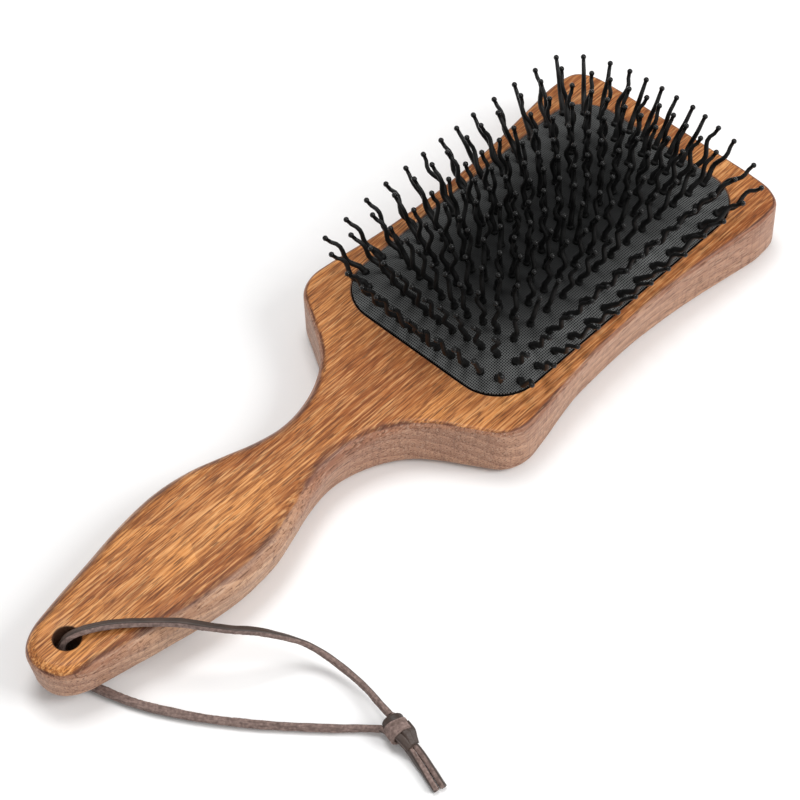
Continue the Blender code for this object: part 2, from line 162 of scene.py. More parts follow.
def smooth_points(points, samples):
    """Centripetal Catmull-Rom curve through points; the first and last only steer it."""
    p = np.array(points, float)
    result = []
    for i in range(1, len(p) - 2):
        a, b, c, d = p[i - 1], p[i], p[i + 1], p[i + 2]
        t0 = 0.0
        t1 = t0 + math.sqrt(np.linalg.norm(b - a))
        t2 = t1 + math.sqrt(np.linalg.norm(c - b))
        t3 = t2 + math.sqrt(np.linalg.norm(d - c))
        for t in np.linspace(t1, t2, samples, endpoint=False):
            ab = a + (b - a) * (t - t0) / (t1 - t0)
            bc = b + (c - b) * (t - t1) / (t2 - t1)
            cd = c + (d - c) * (t - t2) / (t3 - t2)
            abc = ab + (bc - ab) * (t - t0) / (t2 - t0)
            bcd = bc + (cd - bc) * (t - t1) / (t3 - t1)
            result.append(abc + (bcd - abc) * (t - t1) / (t2 - t1))
    result.append(p[-2])
    return np.array(result)


def lace_path(route, closed=False):
    """The route as a smooth line with a point every lace step."""
    p = np.array(route, float)
    if closed:
        guided = np.vstack([p[-1:], p, p[:2]])
    else:
        guided = np.vstack([2 * p[0] - p[1], p, 2 * p[-1] - p[-2]])
    points = smooth_points(guided, 12)
    travelled = np.concatenate([[0], np.cumsum(np.linalg.norm(np.diff(points, axis=0), axis=1))])
    count = max(4, int(round(travelled[-1] / LACE_STEP)) + 1)
    stops = np.linspace(0, travelled[-1], count)
    path = np.column_stack([np.interp(stops, travelled, points[:, k]) for k in range(3)])
    return (path[:-1] if closed else path), travelled[-1]


def lace_section(width, thickness, corner=0.30, steps=3):
    """Outline of the lace's cut end: (across, up, nap), with nap 0 on the smooth face."""
    radius = corner * thickness
    outline = []
    for quarter, (sx, sy) in enumerate([(1, 1), (-1, 1), (-1, -1), (1, -1)]):
        for step in range(steps + 1):
            angle = math.radians(90) * (quarter + step / steps)
            across = sx * (width / 2 - radius) + radius * math.cos(angle)
            up = sy * (thickness / 2 - radius) + radius * math.sin(angle)
            nap = 0.0 if up > thickness / 2 - 0.7 * radius else 1.0
            outline.append((across, up, nap))
        if quarter in (0, 2):
            for part in (0.25, 0.5, 0.75):
                across = sx * (width / 2 - radius) * (1 - 2 * part)
                outline.append((across, sy * thickness / 2, 0.0 if sy > 0 else 1.0))
        else:
            outline.append((sx * width / 2, 0.0, 1.0))
    return outline


def sweep_lace(
    bm, route, width, thickness, turn_deg, up_at=0.0, up=(0, 0, 1), closed=False, taper=(1, 1), seed=1
):
    """Sweep the lace along a route.

    turn_deg lists (part of the length, turn of the smooth face); taper scales the two ends.
    """
    path, length = lace_path(route, closed)
    count = len(path)
    after = np.roll(path, -1, axis=0) if closed else np.vstack([path[1:], 2 * path[-1] - path[-2]])
    before = np.roll(path, 1, axis=0) if closed else np.vstack([2 * path[0] - path[1], path[:-1]])
    tangents = [Vector(t).normalized() for t in after - before]
    start = int(round(up_at * (count - 1)))
    ups = [None] * count
    first = Vector(up)
    ups[start] = (first - tangents[start] * first.dot(tangents[start])).normalized()
    for order in (range(start + 1, count), range(start - 1, -1, -1)):
        last = start
        for i in order:
            ups[i] = tangents[last].rotation_difference(tangents[i]) @ ups[last]
            ups[i] = (ups[i] - tangents[i] * ups[i].dot(tangents[i])).normalized()
            last = i
    section = lace_section(width, thickness)
    nap_layer = bm.verts.layers.float.get("nap") or bm.verts.layers.float.new("nap")
    along_layer = bm.verts.layers.float.get("along") or bm.verts.layers.float.new("along")
    across_layer = bm.verts.layers.float.get("across") or bm.verts.layers.float.new("across")
    rng = random.Random(seed)
    rough = [[rng.uniform(-1, 1) for _ in section] for _ in range(count)]
    rings = []
    for i in range(count):
        part = i / (count - 1)
        turn = math.radians(np.interp(part, [t[0] for t in turn_deg], [t[1] for t in turn_deg]))
        normal = Quaternion(tangents[i], turn) @ ups[i]
        side = tangents[i].cross(normal)
        long_swell = 0.035 * math.sin(part * length / (3.1 * MM) + seed)
        short_swell = 0.02 * math.sin(part * length / (0.9 * MM))
        swell = (taper[0] + (taper[1] - taper[0]) * part) * (1 + long_swell + short_swell)
        ring = []
        for k, (across, rise, nap) in enumerate(section):
            fuzz = nap * LACE_FUZZ * rough[i][k]
            outward = (side * across + normal * rise).normalized()
            place = Vector(path[i]) + side * across * swell + normal * rise * swell + outward * fuzz
            vert = bm.verts.new(place)
            vert[nap_layer] = nap
            vert[along_layer] = part * length / MM
            vert[across_layer] = k / len(section)
            ring.append(vert)
        rings.append(ring)
    pairs = list(zip(rings, rings[1:] + rings[:1])) if closed else list(zip(rings, rings[1:]))
    size = len(section)
    for one, other in pairs:
        for k in range(size):
            j = (k + 1) % size
            bm.faces.new((one[k], one[j], other[j], other[k])).smooth = True
    if not closed:
        bm.faces.new(rings[0][::-1])
        bm.faces.new(rings[-1])
    return path


class Finish:
    """A procedural material, with short calls for the nodes that its look is mixed from."""

    def __init__(self, name):
        self.material = bpy.data.materials.new(name)
        self.material.use_nodes = True
        self.tree = self.material.node_tree
        self.shader = self.tree.nodes["Principled BSDF"]
        self.place = self.node("ShaderNodeTexCoord").outputs["Object"]

    def node(self, kind, **settings):
        made = self.tree.nodes.new(kind)
        for name, value in settings.items():
            setattr(made, name, value)
        return made

    def feed(self, socket, value):
        """Link an output to the socket, or set the socket to a number or a colour."""
        if isinstance(value, bpy.types.NodeSocket):
            self.tree.links.new(value, socket)
        elif socket.type == "RGBA":
            socket.default_value = (*value, 1)
        else:
            socket.default_value = value

    def attribute(self, name):
        return self.node("ShaderNodeAttribute", attribute_name=name).outputs["Fac"]

    def parts(self, vector):
        made = self.node("ShaderNodeSeparateXYZ")
        self.feed(made.inputs["Vector"], vector)
        return made.outputs

    def joined(self, x, y, z=0.0):
        made = self.node("ShaderNodeCombineXYZ")
        for socket, value in zip(made.inputs, (x, y, z)):
            self.feed(socket, value)
        return made.outputs["Vector"]

    def stretched(self, scale, shift=(0, 0, 0)):
        made = self.node("ShaderNodeMapping")
        self.feed(made.inputs["Vector"], self.place)
        self.feed(made.inputs["Location"], shift)
        self.feed(made.inputs["Scale"], scale)
        return made.outputs["Vector"]

    def noise(self, vector, detail, roughness=0.5, distortion=0.0, scale=1.0, dimensions="3D"):
        made = self.node("ShaderNodeTexNoise", noise_dimensions=dimensions)
        self.feed(made.inputs["Vector"], vector)
        self.feed(made.inputs["Scale"], scale)
        self.feed(made.inputs["Detail"], detail)
        self.feed(made.inputs["Roughness"], roughness)
        self.feed(made.inputs["Distortion"], distortion)
        return made.outputs["Fac"]

    def ramp(self, value, stops):
        made = self.node("ShaderNodeValToRGB")
        while len(made.color_ramp.elements) < len(stops):
            made.color_ramp.elements.new(0.5)
        for element, (position, colour) in zip(made.color_ramp.elements, stops):
            element.position = position
            element.color = (*colour, 1)
        self.feed(made.inputs["Fac"], value)
        return made.outputs["Color"]

    def spread(self, value, low, high, to_low=0.0, to_high=1.0, ease="LINEAR"):
        """Carry the range low to high over to to_low to to_high, and stop there."""
        made = self.node("ShaderNodeMapRange", interpolation_type=ease)
        self.feed(made.inputs["Value"], value)
        self.feed(made.inputs["From Min"], low)
        self.feed(made.inputs["From Max"], high)
        self.feed(made.inputs["To Min"], to_low)
        self.feed(made.inputs["To Max"], to_high)
        return made.outputs["Result"]

    def mixed(self, factor, first, second, blend="MIX", kind="RGBA"):
        made = self.node("ShaderNodeMix", data_type=kind, blend_type=blend)
        self.feed(made.inputs["Factor"], factor)
        self.feed(made.inputs["A"], first)
        self.feed(made.inputs["B"], second)
        return made.outputs["Result"]

    def combined(self, operation, *values):
        made = self.node("ShaderNodeMath", operation=operation)
        for socket, value in zip(made.inputs, values):
            self.feed(socket, value)
        return made.outputs["Value"]

    def times(self, first, second):
        return self.combined("MULTIPLY", first, second)

    def plus(self, first, second):
        return self.combined("ADD", first, second)

    def bump(self, height, strength, distance, invert=False):
        made = self.node("ShaderNodeBump", invert=invert)
        self.feed(made.inputs["Strength"], strength)
        self.feed(made.inputs["Distance"], distance)
        self.feed(made.inputs["Height"], height)
        return made.outputs["Normal"]

    def paint(self, **looks):
        """Feed the shader, its sockets named with underscores for spaces."""
        for name, value in looks.items():
            self.feed(self.shader.inputs[name.replace("_", " ")], value)


def leather_material():
    """Dark smooth hide on the grain side, paler felted fibre wherever it is cut."""
    finish = Finish("lace_leather")
    hide = finish.ramp(finish.noise(finish.place, 4, scale=260), HIDE_TONES)
    felt = finish.ramp(finish.noise(finish.place, 5, scale=1300), FELT_TONES)
    ribs_across = finish.times(finish.attribute("across"), 14.0)
    ribs_along = finish.times(finish.attribute("along"), 0.35)
    ribs = finish.noise(finish.joined(ribs_across, ribs_along), 2.0, dimensions="2D")
    ribbed = finish.mixed(1.0, felt, finish.ramp(ribs, RIB_TONES), "MULTIPLY")
    ragged = finish.noise(finish.place, 2, scale=1500)
    ragged = finish.combined("MULTIPLY_ADD", ragged, 0.5, finish.attribute("nap"))
    nap = finish.spread(ragged, 0.55, 0.95)
    fibres = finish.noise(finish.place, 3, scale=2200)
    finish.paint(
        Base_Color=finish.mixed(nap, hide, ribbed),
        Roughness=finish.spread(nap, 0.0, 1.0, 0.48, 0.95),
        Normal=finish.bump(fibres, 0.6, 0.12 * MM),
    )
    return finish.material


def finish_mesh(bm, name, material):
    """Make a piece of this mesh, its faces outwards, with one material."""
    bmesh.ops.recalc_face_normals(bm, faces=bm.faces)
    mesh = bpy.data.meshes.new(name)
    bm.to_mesh(mesh)
    bm.free()
    mesh.materials.append(material)
    piece = bpy.data.objects.new(name, mesh)
    scene.collection.objects.link(piece)
    return piece


leather = leather_material()


def add_lace(
    name, node, route, turn_deg, up_at=0.0, width=LACE_WIDTH, thickness=LACE_THICKNESS, taper=(1, 1), seed=1
):
    """One free run of the lace as a piece of its own, with the points that it follows."""
    bm = bmesh.new()
    path = sweep_lace(bm, route, width, thickness, turn_deg, up_at, taper=taper, seed=seed)
    piece = finish_mesh(bm, name, leather)
    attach(piece, "thong")
    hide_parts(node)
    return piece, path


tail_a, _ = add_lace(
    "lace_tail_a", "thong_tail_a", TAIL_A, [(0, 60), (1, 110)], 0.5, TAIL_WIDTH, TAIL_THICKNESS, seed=5
)
tail_b, _ = add_lace(
    "lace_tail_b", "thong_tail_b", TAIL_B, [(0, -70), (1, -60)], 0.5, TAIL_WIDTH, TAIL_THICKNESS, seed=6
)

# The overhand knot: the doubled lace passes through one wide wrap, under a
# second turn on the side of the legs, and leaves between flared strands.
KNOT = Vector((-0.0700, -0.0718, 0.0036))
knot_mesh = bmesh.new()
axis = Vector((-0.12, -1.0, 0.0)).normalized()
across_knot = Vector((1.0, -0.12, 0.0)).normalized()


def sweep_wrap(centre, half_across, half_high, slant_deg, width, thickness, face_deg, seed, points=14):
    """Lay the lace in one oval turn round the doubled lace."""
    slant = Matrix.Rotation(math.radians(slant_deg), 3, "Z")
    ring = []
    for i in range(points):
        angle = 2 * math.pi * i / points
        flat = slant @ (across_knot * (half_across * math.cos(angle)))
        ring.append(centre + flat + Vector((0, 0, half_high * math.sin(angle))))
    outward = ring[0] - centre
    faces = [(0, face_deg), (1, face_deg)]
    sweep_lace(knot_mesh, ring, width, thickness, faces, up=outward, closed=True, seed=seed)


def knot_place(down, across, up):
    """A place in the knot, in millimetres along the tails, across them and upwards."""
    return KNOT + axis * (down * MM) + Vector((across * MM, 0, up * MM))


def sweep_strand(start, bend, end, face_deg, seed):
    """Lay a short run of the lace through the knot."""
    route = [start, (start + bend) / 2, bend, (bend + end) / 2, end]
    faces = [(0, face_deg), (1, face_deg)]
    sweep_lace(knot_mesh, route, STRAND_WIDTH, STRAND_THICKNESS, faces, 0.5, seed=seed)


sweep_wrap(knot_place(-0.1, -0.1, 0.0), 2.7 * MM, 2.35 * MM, -8, 3.8 * MM, 1.2 * MM, 180, 11)
sweep_wrap(knot_place(-2.4, 0.4, 0.2), 2.0 * MM, 2.0 * MM, -16, 2.2 * MM, 1.6 * MM, 0, 12)
sweep_strand(Vector(UPPER_LEG[-1]), knot_place(0.0, 0.8, 0.6), Vector(TAIL_B[1]), 60, 20)
sweep_strand(Vector(LOWER_LEG[-1]), knot_place(0.0, -1.2, -0.8), Vector(TAIL_A[1]), 130, 21)
sweep_strand(knot_place(0.2, 2.0, 1.3), knot_place(2.6, 1.9, 0.9), knot_place(5.0, 0.9, -1.0), -20, 22)
sweep_strand(knot_place(0.2, 0.2, 1.6), knot_place(2.6, 0.3, 1.3), knot_place(5.0, 0.1, -0.7), 0, 23)
sweep_strand(knot_place(0.2, -1.7, 1.2), knot_place(2.6, -1.4, 0.7), knot_place(5.0, -0.9, -1.0), 20, 24)
knot = finish_mesh(knot_mesh, "lace_knot", leather)
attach(knot, "thong")
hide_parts("thong_knot")

UPPER_LEG_TURNS = [(0, -34), (0.2, -30), (0.4, -22), (0.55, -24), (0.8, -70), (1, -80)]
LOWER_LEG_TURNS = [(0, 180), (0.3, 180), (0.7, 235), (1, 265)]
upper_leg, upper_path = add_lace(
    "lace_upper_leg", "thong_upper_leg", UPPER_LEG, UPPER_LEG_TURNS, 0.25, taper=(1.18, 0.88), seed=2
)
lower_leg, lower_path = add_lace(
    "lace_lower_leg", "thong_lower_leg", LOWER_LEG, LOWER_LEG_TURNS, 0.3, taper=(1.10, 0.86), seed=3
)
tuple(UPPER_LEG[0])
[tuple(p) for p in upper_path]
tuple(LOWER_LEG[0])
[tuple(p) for p in lower_path]

# ------------------------------------------------------------- wooden body
# Handle, neck and paddle are one piece of straight-grained hardwood, shaped
# and sanded round, stained golden brown and given a satin lacquer. The recess
# for the cushion is routed into the top, and the hanging hole is drilled.
TOP_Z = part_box("wooden_body")[1][2]
OUTLINE = [
    (-0.1225, 0.0),
    (-0.1221, 0.0031),
    (-0.1206, 0.0060),
    (-0.1179, 0.0084),
    (-0.1141, 0.0102),
    (-0.1095, 0.0114),
    (-0.0945, 0.0146),
    (-0.0785, 0.0175),
    (-0.0655, 0.0184),
    (-0.0545, 0.0170),
    (-0.0445, 0.0139),
    (-0.0365, 0.0112),
    (-0.0285, 0.0096),
    (-0.0215, 0.0098),
    (-0.0135, 0.0120),
    (-0.0065, 0.0160),
    (-0.0015, 0.0214),
    (0.0035, 0.0292),
    (0.0080, 0.0359),
    (0.0135, 0.0384),
    (0.0215, 0.0380),
    (0.0355, 0.0361),
    (0.0495, 0.0350),
    (0.0645, 0.0346),
    (0.0815, 0.0352),
    (0.0995, 0.0370),
    (0.1115, 0.0379),
    (0.1185, 0.0366),
    (0.1215, 0.0322),
    (0.1224, 0.0250),
    (0.1225, 0.0120),
    (0.1225, 0.0),
]
OUTLINE_SAMPLES = 8
# Each list below gives a value at stations along X.
TOP_ROUNDING = [(-0.1225, 0.0032), (-0.090, 0.0055), (-0.030, 0.0050), (0.003, 0.0016)]
BACK_ROUNDING = [(-0.1225, 0.0030), (-0.090, 0.0042), (-0.030, 0.0038), (0.003, 0.0025)]
SIDE_UNDERCUT = [
    (-0.1225, 0.0013),
    (-0.0975, 0.0011),
    (-0.0615, 0.0024),
    (-0.0245, 0.0016),
    (-0.0005, 0.0004),
    (0.0175, 0.0002),
    (0.0395, 0.0020),
    (0.0635, 0.0020),
    (0.0925, 0.0010),
    (0.1095, 0.0),
]
BACK_RISE = [(-0.1005, 0.0032), (-0.078, 0.0014), (-0.0525, 0.0)]
ROUNDING_STEPS = 8
FLAT_MARGIN = 0.3 * MM
HOLE_X = -0.1120
HOLE_RADIUS = 0.0035
HOLE_CHAMFER = 0.0004
PAD_X = 0.0635
RECESS_HALF_X = 0.0506
RECESS_HALF_Y = 0.0305
RECESS_CORNER = 0.0130
RECESS_DEPTH = 0.0070
RECESS_CHAMFER = 0.0003
DEEP_GOLD = (0.43, 0.143, 0.034)
LIGHT_GOLD = (0.77, 0.320, 0.090)
STAIN_BROWN = (0.27, 0.072, 0.018)
PORE_BROWN = (0.075, 0.024, 0.009)
SHEEN_SIDE_DARK = (0.36, 0.165, 0.098)
SHEEN_SIDE_LIGHT = (0.47, 0.245, 0.150)
SHEEN_PALM_SIDE = (0.64, 0.395, 0.245)
BOUNCE_LIT_SIDE = (0.70, 0.490, 0.345)
SIDE_GRAIN_LINE = (0.19, 0.082, 0.054)
ARRIS_SHADE_BROWN = (0.085, 0.028, 0.020)
HOLE_SHADE_BROWN = (0.030, 0.012, 0.006)


def along(stations, x):
    """The value at x of a list of (x, value) stations."""
    return float(np.interp(x, [s[0] for s in stations], [s[1] for s in stations]))


def body_levels(x):
    """(z, inset) of each level of the side, from the back to the top, at station x."""
    back, undercut = along(BACK_RISE, x), along(SIDE_UNDERCUT, x)
    back_round, top_round = along(BACK_ROUNDING, x), along(TOP_ROUNDING, x)
    levels = [(back, undercut + back_round + FLAT_MARGIN)]
    for step in range(ROUNDING_STEPS + 1):
        angle = math.radians(90) * step / ROUNDING_STEPS
        inset = undercut + back_round * (1 - math.sin(angle))
        levels.append((back + back_round * (1 - math.cos(angle)), inset))
    for step in range(ROUNDING_STEPS + 1):
        angle = math.radians(90) * step / ROUNDING_STEPS
        z = TOP_Z - top_round * (1 - math.sin(angle))
        levels.append((z, top_round * (1 - math.cos(angle))))
    levels.append((TOP_Z, top_round + FLAT_MARGIN))
    return levels


def body_bmesh():
    """The body as rings of its outline, drawn in by the inset of each level of the side."""
    before_end = (OUTLINE[1][0], -OUTLINE[1][1])
    beyond_end = (OUTLINE[-2][0], -OUTLINE[-2][1])
    half = smooth_points([before_end] + OUTLINE + [beyond_end], OUTLINE_SAMPLES)
    outline = np.vstack([half, half[1:-1][::-1] * [1, -1]])
    tangent = np.roll(outline, -1, axis=0) - np.roll(outline, 1, axis=0)
    tangent /= np.linalg.norm(tangent, axis=1)[:, None]
    inward = np.column_stack([tangent[:, 1], -tangent[:, 0]])
    levels = [body_levels(x) for x, _ in outline]
    count = len(outline)
    bm = bmesh.new()
    rings = []
    for level in range(len(levels[0])):
        ring = []
        for i in range(count):
            z, inset = levels[i][level]
            x, y = outline[i] + inward[i] * inset
            ring.append(bm.verts.new((x, y, z)))
        rings.append(ring)
    for lower, upper in zip(rings, rings[1:]):
        for i in range(count):
            j = (i + 1) % count
            bm.faces.new((lower[i], lower[j], upper[j], upper[i]))
    for ring in (rings[0], rings[-1]):
        for i in range(count // 2):
            corners = [ring[i], ring[i + 1], ring[(count - i - 1) % count], ring[(count - i) % count]]
            bm.faces.new(list(dict.fromkeys(corners)))
    return bm


def rounded_rectangle(half_x, half_y, radius, corner_steps=12):
    """Points of a rounded rectangle about the pad's middle, anticlockwise."""
    straight_x, straight_y = half_x - radius, half_y - radius
    points = []
    centres = [(1, 1), (-1, 1), (-1, -1), (1, -1)]
    for quarter, (side_x, side_y) in enumerate(centres):
        for step in range(corner_steps + 1):
            angle = math.radians(90) * (quarter + step / corner_steps)
            x = side_x * straight_x + radius * math.cos(angle)
            y = side_y * straight_y + radius * math.sin(angle)
            points.append((x, y))
    return np.array(points)


def stacked_solid(levels):
    """A solid of the pad's outline, grown by an offset at each (z, offset) level."""
    bm = bmesh.new()
    rings = []
    for z, offset in levels:
        outline = rounded_rectangle(RECESS_HALF_X + offset, RECESS_HALF_Y + offset, RECESS_CORNER + offset)
        rings.append([bm.verts.new((PAD_X + x, y, z)) for x, y in outline])
    count = len(rings[0])
    for lower, upper in zip(rings, rings[1:]):
        for i in range(count):
            j = (i + 1) % count
            bm.faces.new((lower[i], lower[j], upper[j], upper[i]))
    bm.faces.new(rings[0][::-1])
    bm.faces.new(rings[-1])
    bmesh.ops.recalc_face_normals(bm, faces=bm.faces)
    return bm


def turned_solid(profile, x, segments=48):
    """A solid turned round a vertical axis at x from a (radius, z) profile."""
    bm = bmesh.new()
    rings = []
    for radius, z in profile:
        angles = [2 * math.pi * k / segments for k in range(segments)]
        rings.append([bm.verts.new((x + radius * math.cos(a), radius * math.sin(a), z)) for a in angles])
    for lower, upper in zip(rings, rings[1:]):
        for i in range(segments):
            j = (i + 1) % segments
            bm.faces.new((lower[i], lower[j], upper[j], upper[i]))
    bm.faces.new(rings[0][::-1])
    bm.faces.new(rings[-1])
    bmesh.ops.recalc_face_normals(bm, faces=bm.faces)
    return bm


def cut_away(piece, cutters):
    """Cut these meshes out of the piece for good."""
    for bm in cutters:
        mesh = bpy.data.meshes.new("cutter")
        bm.to_mesh(mesh)
        bm.free()
        cutter = bpy.data.objects.new("cutter", mesh)
        scene.collection.objects.link(cutter)
        modifier = piece.modifiers.new("cut", "BOOLEAN")
        modifier.object = cutter
        modifier.solver = "EXACT"
        bpy.context.view_layer.update()
        depsgraph = bpy.context.evaluated_depsgraph_get()
        done = bpy.data.meshes.new_from_object(piece.evaluated_get(depsgraph))
        piece.modifiers.clear()
        piece.data = done
        bpy.data.objects.remove(cutter, do_unlink=True)


def wood_material():
    """Stained hardwood: growth layers, long streaks, short pores, the sanded sides painted paler and hazier
    as a painted sheen, painted bounce light on faces turned down, and painted shade along the rounded top
    edge and in the hanging hole.
    """
    finish = Finish("stained_hardwood")
    stretched, noise, spread, mixed = finish.stretched, finish.noise, finish.spread, finish.mixed
    times, plus = finish.times, finish.plus
    place = finish.parts(finish.place)
    facing = finish.parts(finish.node("ShaderNodeNewGeometry").outputs["Normal"])["Z"]
    # The tree's heart lies under the back and rises towards the handle, so
    # the growth layers leave the palm in long arches and run straight beyond.
    depth = plus(place["Z"], spread(place["X"], -0.140, 0.020, 0.046, 0.061, "SMOOTHSTEP"))
    rings = finish.node("ShaderNodeTexWave", wave_type="RINGS", rings_direction="X", wave_profile="SAW")
    finish.feed(rings.inputs["Vector"], finish.joined(times(place["X"], 0.12), place["Y"], depth))
    finish.feed(rings.inputs["Scale"], 82.0)
    finish.feed(rings.inputs["Distortion"], 2.6)
    finish.feed(rings.inputs["Detail"], 2.0)
    finish.feed(rings.inputs["Detail Scale"], 0.55)
    growth = spread(rings.outputs["Fac"], 0.95, 0.10)
    # Broad bands of tone, streaks, grain lines, single fibres, open pores and patches of stain.
    broad = noise(stretched((14, 80, 80)), 3.0, 0.55)
    streaks = noise(stretched((22, 300, 300)), 4.0, 0.60, 0.2)
    lines = noise(stretched((85, 1750, 1750), (1, 4, 2)), 2.0, 0.55)
    fibres = noise(stretched((130, 2600, 2600)), 3.0, 0.7)
    pores = noise(stretched((200, 2600, 2600), (3, 1, 7)), 1.0, 0.5)
    patches = noise(stretched((60, 260, 260), (5, 2, 1)), 2.0, 0.55)
    gold = mixed(spread(broad, 0.36, 0.64), DEEP_GOLD, LIGHT_GOLD)
    gold = mixed(times(growth, 0.36), gold, STAIN_BROWN)
    gold = mixed(times(spread(streaks, 0.48, 0.68), 0.50), gold, (0.21, 0.056, 0.014))
    gold = mixed(times(spread(streaks, 0.48, 0.30), 0.30), gold, (0.82, 0.40, 0.150))
    gold = mixed(times(spread(patches, 0.50, 0.70), 0.25), gold, (0.27, 0.078, 0.020))
    gold = mixed(times(spread(lines, 0.52, 0.59), 0.56), gold, (0.140, 0.034, 0.010))
    gold = mixed(times(spread(lines, 0.47, 0.37), 0.42), gold, (0.92, 0.52, 0.225))
    # The stain has taken more deeply towards the paddle's shoulders.
    shoulder = spread(place["X"], -0.016, 0.012)
    gold = mixed(times(shoulder, 0.22), gold, (0.32, 0.090, 0.024))
    # The sides: the wood's tones painted paler and hazier than the top, a painted sheen of the white
    # surround, lighter still on the palm.
    painted_bounce = spread(facing, 0.45, -0.35)
    belly = times(spread(place["X"], -0.113, -0.096), spread(place["X"], -0.036, -0.050))
    pale = mixed(spread(broad, 0.35, 0.68), SHEEN_SIDE_DARK, SHEEN_SIDE_LIGHT)
    pale = mixed(times(belly, 0.60), pale, SHEEN_PALM_SIDE)
    # Painted bounce light from the floor: sides turned downwards are painted lighter.
    pale = mixed(times(painted_bounce, 0.35), pale, BOUNCE_LIT_SIDE)
    pale = mixed(times(growth, 0.46), pale, SIDE_GRAIN_LINE)
    pale = mixed(times(spread(streaks, 0.5, 0.72), 0.34), pale, SIDE_GRAIN_LINE)
    pale = mixed(times(spread(lines, 0.46, 0.34), 0.25), pale, (0.72, 0.54, 0.41))
    # Upright scratches that sanding leaves on the sides.
    ticks = noise(stretched((1500, 1500, 110), (2, 5, 1)), 2.0, 0.55)
    pale = mixed(times(spread(ticks, 0.52, 0.66), 0.34), pale, (0.16, 0.072, 0.050))
    # At the very end of the handle the gold top and the painted shade line reach further down the rounding.
    lowered = plus(facing, spread(place["X"], -0.1195, -0.1120, 0.34, 0.0))
    ragged = plus(lowered, spread(streaks, 0.2, 0.8, -0.08, 0.08))
    top_mask = spread(ragged, 0.78, 0.85)
    # Painted shade along the rounded top edge, a dark crease line, stronger here and there.
    arris_shade = times(spread(lowered, 0.70, 0.80), spread(lowered, 0.985, 0.90))
    arris_shade = times(arris_shade, spread(patches, 0.36, 0.58, 0.20, 1.0))
    colour = mixed(top_mask, pale, gold)
    colour = mixed(times(arris_shade, 0.88), colour, ARRIS_SHADE_BROWN)
    dark_fibres = times(spread(fibres, 0.50, 0.62), spread(top_mask, 0.0, 1.0, 0.24, 0.50))
    colour = mixed(dark_fibres, colour, (0.12, 0.034, 0.010))
    light_fibres = times(spread(fibres, 0.46, 0.30), spread(top_mask, 0.0, 1.0, 0.14, 0.28))
    colour = mixed(light_fibres, colour, (0.86, 0.52, 0.24))
    colour = mixed(times(spread(pores, 0.58, 0.64), 0.60), colour, PORE_BROWN)
    # Painted shade inside the hanging hole, darkening its wall.
    from_hole = finish.node("ShaderNodeVectorMath", operation="DISTANCE")
    finish.feed(from_hole.inputs[0], finish.joined(place["X"], place["Y"]))
    finish.feed(from_hole.inputs[1], (HOLE_X, 0, 0))
    hole_shade = spread(from_hole.outputs["Value"], HOLE_RADIUS + 0.5 * MM, HOLE_RADIUS + 0.1 * MM)
    finish.paint(
        Base_Color=mixed(times(hole_shade, 0.85), colour, HOLE_SHADE_BROWN),
        Roughness=spread(streaks, 0.2, 0.8, 0.36, 0.52),
        Specular_IOR_Level=0.24,
        Normal=finish.bump(mixed(0.5, lines, pores), 0.35, 0.05 * MM, invert=True),
    )
    return finish.material


wood = finish_mesh(body_bmesh(), "hardwood_body", wood_material())
recess_levels = [
    (TOP_Z - RECESS_DEPTH, 0.0),
    (TOP_Z - RECESS_CHAMFER, 0.0),
    (TOP_Z + MM, MM + RECESS_CHAMFER),
]
hole_back = along(BACK_RISE, HOLE_X)
hole_profile = [
    (HOLE_RADIUS + HOLE_CHAMFER + MM, hole_back - MM),
    (HOLE_RADIUS, hole_back + HOLE_CHAMFER),
    (HOLE_RADIUS, TOP_Z - HOLE_CHAMFER),
    (HOLE_RADIUS + 0.35 * HOLE_CHAMFER, TOP_Z - 0.3 * HOLE_CHAMFER),
    (HOLE_RADIUS + HOLE_CHAMFER, TOP_Z),
    (HOLE_RADIUS + HOLE_CHAMFER + MM, TOP_Z + 0.3 * MM),
]
cut_away(wood, [stacked_solid(recess_levels), turned_solid(hole_profile, HOLE_X)])
wood.data.shade_smooth()
wood.data.set_sharp_from_angle(angle=math.radians(32))
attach(wood, "body")
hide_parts("wooden_body")

# ---------------------------------------------------------- rubber cushion
# A black rubber membrane, moulded with a fine square weave, is pressed into
# the recess and bulges over trapped air. Each pin's foot draws a small dimple,
# and one vent hole near the handle lets the air in and out.
WEAVE_PITCH = 0.58 * MM
WEAVE_DEPTH = 0.07 * MM
WEAVE_LINES = (0.0, 0.5 * WEAVE_PITCH)
RUBBER_GAP = 0.35 * MM
DOME_HEIGHT = 6.0 * MM
VENT_X = 0.0314
VENT_RADIUS = 0.9 * MM
VENT_DEPTH = 2.2 * MM
DIMPLE_RADIUS = 1.5 * MM
DIMPLE_DEPTH = 0.22 * MM
WALL_DROPS = (0.5 * MM, 6.2 * MM)
RUBBER_BLACK = (0.0050, 0.0052, 0.0054)
DUST_GREY = (0.185, 0.190, 0.188)
COLUMN_PITCH = 4.6 * MM
COLUMNS_EACH_SIDE = 6
# One value for each column, from the middle one outwards.
COLUMN_PINS = [17, 17, 16, 16, 15, 14, 13]
COLUMN_HALF_LENGTH = [0.0468, 0.0468, 0.0464, 0.0459, 0.0452, 0.0436, 0.0400]
COLUMN_LEAN_DEG = [0, 2, 5, 9, 15, 32, 41]
# One value for each pin, from the end of a column inwards.
NEAR_END_LEAN_DEG = [28, 21, 13, 6, 2]
FAR_END_LEAN_DEG = [32, 23, 14, 7, 2]


def dome_z(x, y):
    """Height of the rubber's outer surface: steep edges and a broad, nearly flat crown."""
    u = np.minimum(1.0, np.abs(x - PAD_X) / RECESS_HALF_X)
    v = np.minimum(1.0, np.abs(y) / RECESS_HALF_Y)
    return TOP_Z + DOME_HEIGHT * (1 - u**4) * (1 - v**2.6)


